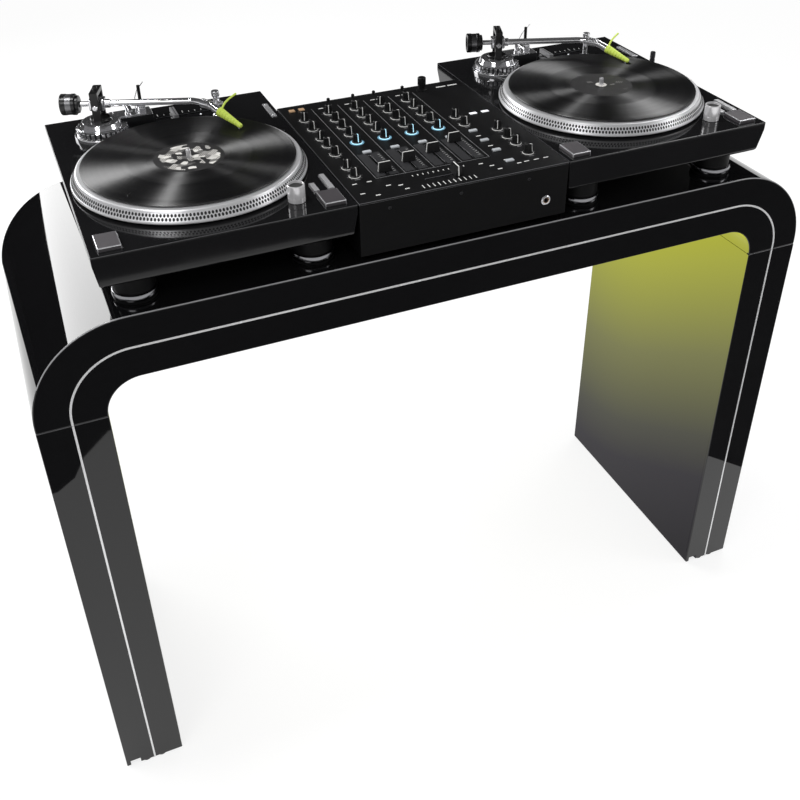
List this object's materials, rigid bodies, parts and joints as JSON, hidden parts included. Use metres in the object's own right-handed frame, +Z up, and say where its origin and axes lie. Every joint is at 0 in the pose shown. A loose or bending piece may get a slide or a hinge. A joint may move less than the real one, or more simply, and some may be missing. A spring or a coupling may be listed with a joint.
{
  "type": "dj booth",
  "caption": "Gloss black bridge-shaped DJ stand with rounded shoulders, carrying two direct-drive turntables on isolation feet either side of a four-channel mixer.",
  "frame": {"origin": "on the floor under the middle of the booth", "axes": "+X to the player's right, +Y away from the player, +Z up"},
  "size_m": [1.26, 0.4636, 1.0644],
  "materials": {
    "black_lacquer": "high-gloss lacquer",
    "inlay_metal": "bright",
    "fastener_steel": "satin",
    "glide_plastic": "matte",
    "light_channel": "anodised",
    "opal_acrylic": "translucent",
    "deck_gloss": "gloss",
    "pan_plastic": "matte",
    "foot_rubber": "matte",
    "foot_chrome": "polished",
    "motor_steel": "satin",
    "arm_chrome": "polished",
    "yoke_black": "satin black",
    "weight_black": "satin black",
    "cartridge_lime": "gloss",
    "platter_metal": "turned",
    "felt": "matte",
    "vinyl": "grooved",
    "key_metal": "satin",
    "control_black": "matte",
    "peg_metal": "satin",
    "lever_black": "satin black",
    "mixer_black": "satin",
    "cap_black": "matte",
    "button_grey": "matte",
    "socket_dark": "matte",
    "board_green": "matte"
  },
  "bodies": {
    "booth": {"bridge_top": "black_lacquer", "left_leg": "black_lacquer", "right_leg": "black_lacquer", "inlay_strips": "inlay_metal", "leg_bolts": "fastener_steel", "leg_glides": "glide_plastic", "light_bar": "light_channel", "glow_sheets": "opal_acrylic", "deck_a_plinth": "deck_gloss", "deck_b_plinth": "deck_gloss", "base_pans": "pan_plastic", "foot_pads": "foot_rubber", "foot_rings": "foot_chrome", "drive_motors": "motor_steel", "arm_bases": "arm_chrome", "mixer_case": "mixer_black", "mixer_faceplate": "mixer_black", "rotary_knobs": "cap_black", "cue_buttons": "button_grey", "panel_sockets": "socket_dark", "circuit_boards": "board_green"},
    "deck_a_turning": {"deck_a_platter": "platter_metal", "deck_a_slipmat": "felt", "deck_a_record": "vinyl"},
    "deck_a_gimbal": {"deck_a_arm_gimbal": "yoke_black"},
    "deck_a_arm": {"deck_a_tonearm": "arm_chrome", "deck_a_cartridge": "cartridge_lime"},
    "deck_a_counterweight": {"deck_a_counterweight": "weight_black"},
    "deck_a_pitch_fader": {"deck_a_pitch_fader": "control_black"},
    "deck_a_start_left": {"deck_a_start_left": "key_metal"},
    "deck_a_start_right": {"deck_a_start_right": "key_metal"},
    "deck_a_speed_33": {"deck_a_speed_33": "control_black"},
    "deck_a_speed_45": {"deck_a_speed_45": "control_black"},
    "deck_a_power_dial": {"deck_a_power_dial": "key_metal"},
    "deck_a_target_light": {"deck_a_target_light": "peg_metal"},
    "deck_a_cue_lever": {"deck_a_cue_lever": "lever_black"},
    "deck_b_turning": {"deck_b_platter": "platter_metal", "deck_b_slipmat": "felt", "deck_b_record": "vinyl"},
    "deck_b_gimbal": {"deck_b_arm_gimbal": "yoke_black"},
    "deck_b_arm": {"deck_b_tonearm": "arm_chrome", "deck_b_cartridge": "cartridge_lime"},
    "deck_b_counterweight": {"deck_b_counterweight": "weight_black"},
    "deck_b_pitch_fader": {"deck_b_pitch_fader": "control_black"},
    "deck_b_start_left": {"deck_b_start_left": "key_metal"},
    "deck_b_start_right": {"deck_b_start_right": "key_metal"},
    "deck_b_speed_33": {"deck_b_speed_33": "control_black"},
    "deck_b_speed_45": {"deck_b_speed_45": "control_black"},
    "deck_b_power_dial": {"deck_b_power_dial": "key_metal"},
    "deck_b_target_light": {"deck_b_target_light": "peg_metal"},
    "deck_b_cue_lever": {"deck_b_cue_lever": "lever_black"},
    "channel_1_fader": {"channel_1_fader": "cap_black"},
    "channel_1_filter": {"channel_1_filter": "cap_black"},
    "channel_2_fader": {"channel_2_fader": "cap_black"},
    "channel_2_filter": {"channel_2_filter": "cap_black"},
    "channel_3_fader": {"channel_3_fader": "cap_black"},
    "channel_3_filter": {"channel_3_filter": "cap_black"},
    "channel_4_fader": {"channel_4_fader": "cap_black"},
    "channel_4_filter": {"channel_4_filter": "cap_black"},
    "crossfader": {"crossfader": "cap_black"}
  },
  "joints": [
    {"name": "deck_a_platter_spin", "type": "hinge", "parent": "booth", "child": "deck_a_turning", "pos_m": [-0.3448, -0.0352, 0.9864], "axis": [0, 0, -1], "continuous": true},
    {"name": "deck_a_arm_swing", "type": "hinge", "parent": "booth", "child": "deck_a_gimbal", "pos_m": [-0.4373, 0.15445, 1.0364], "axis": [0, 0, 1], "range_deg": [-17, 18]},
    {"name": "deck_a_arm_lift", "type": "hinge", "parent": "deck_a_gimbal", "child": "deck_a_arm", "pos_m": [-0.4373, 0.15445, 1.0364], "axis": [-0.342, -0.9397, 0], "range_deg": [0, 12]},
    {"name": "deck_a_counterweight_turn", "type": "hinge", "parent": "deck_a_arm", "child": "deck_a_counterweight", "pos_m": [-0.47535, 0.1683, 1.0364], "axis": [0.9397, -0.342, 0], "continuous": true},
    {"name": "deck_a_pitch_slide", "type": "slide", "parent": "booth", "child": "deck_a_pitch_fader", "axis": [1, 0, 0], "range_m": [-0.025, 0.075]},
    {"name": "deck_a_start_left_press", "type": "slide", "parent": "booth", "child": "deck_a_start_left", "axis": [0, 0, -1], "range_m": [0, 0.002], "stiffness_N_per_m": 400, "springref_m": -0.003},
    {"name": "deck_a_start_right_press", "type": "slide", "parent": "booth", "child": "deck_a_start_right", "axis": [0, 0, -1], "range_m": [0, 0.002], "stiffness_N_per_m": 400, "springref_m": -0.003},
    {"name": "deck_a_speed_33_press", "type": "slide", "parent": "booth", "child": "deck_a_speed_33", "axis": [0, 0, -1], "range_m": [0, 0.002], "stiffness_N_per_m": 400, "springref_m": -0.003},
    {"name": "deck_a_speed_45_press", "type": "slide", "parent": "booth", "child": "deck_a_speed_45", "axis": [0, 0, -1], "range_m": [0, 0.002], "stiffness_N_per_m": 400, "springref_m": -0.003},
    {"name": "deck_a_power_turn", "type": "hinge", "parent": "booth", "child": "deck_a_power_dial", "pos_m": [-0.2352, -0.18374, 0.9864], "axis": [0, 0, 1], "range_deg": [0, 60]},
    {"name": "deck_a_light_pop", "type": "slide", "parent": "booth", "child": "deck_a_target_light", "axis": [0, 0, 1], "range_m": [0, 0.026]},
    {"name": "deck_a_cue_swing", "type": "hinge", "parent": "booth", "child": "deck_a_cue_lever", "pos_m": [-0.3713, 0.17445, 1.0144], "axis": [0, 1, 0], "range_deg": [0, 70]},
    {"name": "deck_b_platter_spin", "type": "hinge", "parent": "booth", "child": "deck_b_turning", "pos_m": [0.3358, -0.0352, 0.9864], "axis": [0, 0, -1], "continuous": true},
    {"name": "deck_b_arm_swing", "type": "hinge", "parent": "booth", "child": "deck_b_gimbal", "pos_m": [0.2433, 0.15445, 1.0364], "axis": [0, 0, 1], "range_deg": [-17, 18]},
    {"name": "deck_b_arm_lift", "type": "hinge", "parent": "deck_b_gimbal", "child": "deck_b_arm", "pos_m": [0.2433, 0.15445, 1.0364], "axis": [-0.342, -0.9397, 0], "range_deg": [0, 12]},
    {"name": "deck_b_counterweight_turn", "type": "hinge", "parent": "deck_b_arm", "child": "deck_b_counterweight", "pos_m": [0.20525, 0.1683, 1.0364], "axis": [0.9397, -0.342, 0], "continuous": true},
    {"name": "deck_b_pitch_slide", "type": "slide", "parent": "booth", "child": "deck_b_pitch_fader", "axis": [1, 0, 0], "range_m": [-0.025, 0.075]},
    {"name": "deck_b_start_left_press", "type": "slide", "parent": "booth", "child": "deck_b_start_left", "axis": [0, 0, -1], "range_m": [0, 0.002], "stiffness_N_per_m": 400, "springref_m": -0.003},
    {"name": "deck_b_start_right_press", "type": "slide", "parent": "booth", "child": "deck_b_start_right", "axis": [0, 0, -1], "range_m": [0, 0.002], "stiffness_N_per_m": 400, "springref_m": -0.003},
    {"name": "deck_b_speed_33_press", "type": "slide", "parent": "booth", "child": "deck_b_speed_33", "axis": [0, 0, -1], "range_m": [0, 0.002], "stiffness_N_per_m": 400, "springref_m": -0.003},
    {"name": "deck_b_speed_45_press", "type": "slide", "parent": "booth", "child": "deck_b_speed_45", "axis": [0, 0, -1], "range_m": [0, 0.002], "stiffness_N_per_m": 400, "springref_m": -0.003},
    {"name": "deck_b_power_turn", "type": "hinge", "parent": "booth", "child": "deck_b_power_dial", "pos_m": [0.4454, -0.18374, 0.9864], "axis": [0, 0, 1], "range_deg": [0, 60]},
    {"name": "deck_b_light_pop", "type": "slide", "parent": "booth", "child": "deck_b_target_light", "axis": [0, 0, 1], "range_m": [-0.026, 0]},
    {"name": "deck_b_cue_swing", "type": "hinge", "parent": "booth", "child": "deck_b_cue_lever", "pos_m": [0.3093, 0.17445, 1.0144], "axis": [0, 1, 0], "range_deg": [0, 70]},
    {"name": "channel_1_fader_slide", "type": "slide", "parent": "booth", "child": "channel_1_fader", "axis": [0, 1, 0], "range_m": [-0.0042, 0.0558]},
    {"name": "channel_1_filter_turn", "type": "hinge", "parent": "booth", "child": "channel_1_filter", "pos_m": [-0.092, -0.0362, 0.9864], "axis": [0, 0, 1], "range_deg": [-145, 145]},
    {"name": "channel_2_fader_slide", "type": "slide", "parent": "booth", "child": "channel_2_fader", "axis": [0, 1, 0], "range_m": [-0.0228, 0.0372]},
    {"name": "channel_2_filter_turn", "type": "hinge", "parent": "booth", "child": "channel_2_filter", "pos_m": [-0.047, -0.0362, 0.9864], "axis": [0, 0, 1], "range_deg": [-145, 145]},
    {"name": "channel_3_fader_slide", "type": "slide", "parent": "booth", "child": "channel_3_fader", "axis": [0, 1, 0], "range_m": [-0.0372, 0.0228]},
    {"name": "channel_3_filter_turn", "type": "hinge", "parent": "booth", "child": "channel_3_filter", "pos_m": [-0.002, -0.0362, 0.9864], "axis": [0, 0, 1], "range_deg": [-145, 145]},
    {"name": "channel_4_fader_slide", "type": "slide", "parent": "booth", "child": "channel_4_fader", "axis": [0, 1, 0], "range_m": [-0.0582, 0.0018]},
    {"name": "channel_4_filter_turn", "type": "hinge", "parent": "booth", "child": "channel_4_filter", "pos_m": [0.043, -0.0362, 0.9864], "axis": [0, 0, 1], "range_deg": [-145, 145]},
    {"name": "crossfader_slide", "type": "slide", "parent": "booth", "child": "crossfader", "axis": [1, 0, 0], "range_m": [-0.0441, 0.0009]}
  ]
}
